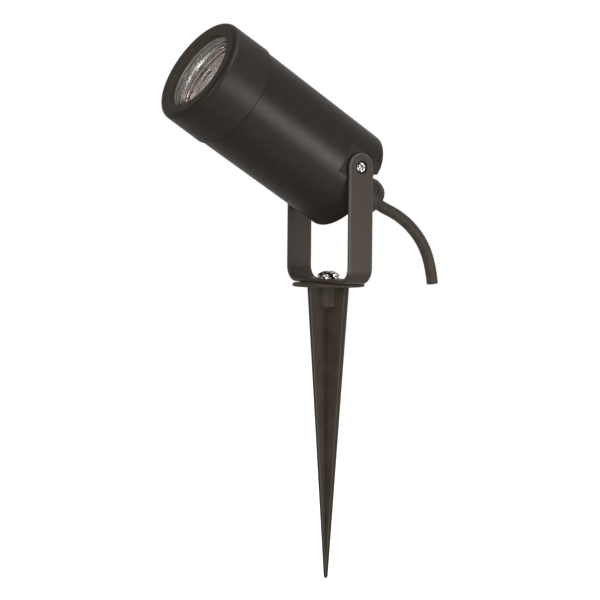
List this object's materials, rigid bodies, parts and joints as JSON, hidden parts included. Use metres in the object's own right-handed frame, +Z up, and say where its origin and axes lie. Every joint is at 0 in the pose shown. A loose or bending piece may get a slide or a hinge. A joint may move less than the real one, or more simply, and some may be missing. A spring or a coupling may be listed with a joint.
{
  "type": "garden spike spotlight",
  "caption": "Garden spotlight: cylindrical lamp head with screw-on bezel and cable gland, tilting in a U bracket that swivels on a four-finned ground spike.",
  "frame": {"origin": "on the spike's axis at the underside of its flange, which is the ground line", "axes": "+Z up along the spike's axis; the lamp head points towards -X at rest; the tilt axis lies along Y"},
  "size_m": [0.1801, 0.062, 0.3104],
  "materials": {
    "housing_coat": "die-cast aluminium under satin near-black powder coat",
    "bracket_coat": "satin near-black powder coat on steel strip",
    "spike_plastic": "moulded black plastic, fine matt grain",
    "bright_steel": "bright plated steel",
    "zinc_plate": "zinc plated steel",
    "nickel_plate": "nickel plate",
    "brass": "machined",
    "seal_rubber": "matt black",
    "gasket_rubber": "matt dark grey silicone",
    "front_glass": "clear tempered",
    "reflector_mirror": "aluminised facets",
    "lamp_glass": "clear with fine facets",
    "capsule_glass": "clear quartz",
    "lamp_ceramic": "unglazed steatite",
    "holder_ceramic": "unglazed steatite",
    "filament_wire": "tungsten coil",
    "lead_sleeve": "glass-fibre sleeve",
    "core_brown": "smooth",
    "core_blue": "smooth",
    "core_earth": "smooth, green and yellow",
    "gland_nylon": "moulded, satin",
    "flex_rubber": "matt black sheath"
  },
  "bodies": {
    "stake": {"spike": "spike_plastic", "thread_insert": "brass", "base_screw": "bright_steel", "spring_washer": "bright_steel"},
    "bracket": {"u_bracket": "bracket_coat"},
    "head": {"head_barrel": "housing_coat", "pivot_screws": "bright_steel", "bezel_seal": "seal_rubber", "lampholder": "holder_ceramic", "holder_contacts": "nickel_plate", "holder_bridge": "zinc_plate", "bridge_screws": "zinc_plate", "holder_screws": "zinc_plate", "holder_leads": "lead_sleeve", "terminal_block": "holder_ceramic", "terminal_tubes": "brass", "terminal_screws": "zinc_plate", "block_screw": "zinc_plate", "core_brown": "core_brown", "core_blue": "core_blue", "core_earth": "core_earth", "earth_tag": "nickel_plate", "earth_screw": "zinc_plate", "gland_body": "gland_nylon", "gland_washer": "seal_rubber", "gland_locknut": "gland_nylon", "gland_insert": "seal_rubber", "gland_nut": "gland_nylon", "flex_end": "flex_rubber", "flex_tail": "flex_rubber"},
    "lamp": {"lamp_reflector": "reflector_mirror", "lamp_lens": "lamp_glass", "lamp_base": "lamp_ceramic", "lamp_pins": "nickel_plate", "lamp_capsule": "capsule_glass", "lamp_filament": "filament_wire"},
    "lens": {"front_glass": "front_glass", "glass_gasket": "gasket_rubber"},
    "ring": {"bezel": "housing_coat"}
  },
  "joints": [
    {"name": "swivel", "type": "hinge", "parent": "stake", "child": "bracket", "pos_m": [0, 0, 0.0045], "axis": [0, 0, 1], "continuous": true},
    {"name": "tilt", "type": "hinge", "parent": "bracket", "child": "head", "pos_m": [0, 0, 0.0669], "axis": [0, 1, 0], "range_deg": [-45, 59.6], "deforming": ["flex_tail"]},
    {"name": "lamp_twist", "type": "hinge", "parent": "head", "child": "lamp", "pos_m": [0, 0, 0.0669], "axis": [-0.8625, 0, 0.506], "range_deg": [0, 22]},
    {"name": "bezel_advance", "type": "slide", "parent": "head", "child": "lens", "axis": [-0.8625, 0, 0.506], "range_m": [0, 0.008]},
    {"name": "bezel_turn", "type": "hinge", "parent": "lens", "child": "ring", "pos_m": [0, 0, 0.0669], "axis": [-0.8625, 0, 0.506], "range_deg": [0, 1440]}
  ],
  "couplings": [
    {"joint": "bezel_advance", "follows": "bezel_turn", "m_per_rad": 0.00031831}
  ]
}
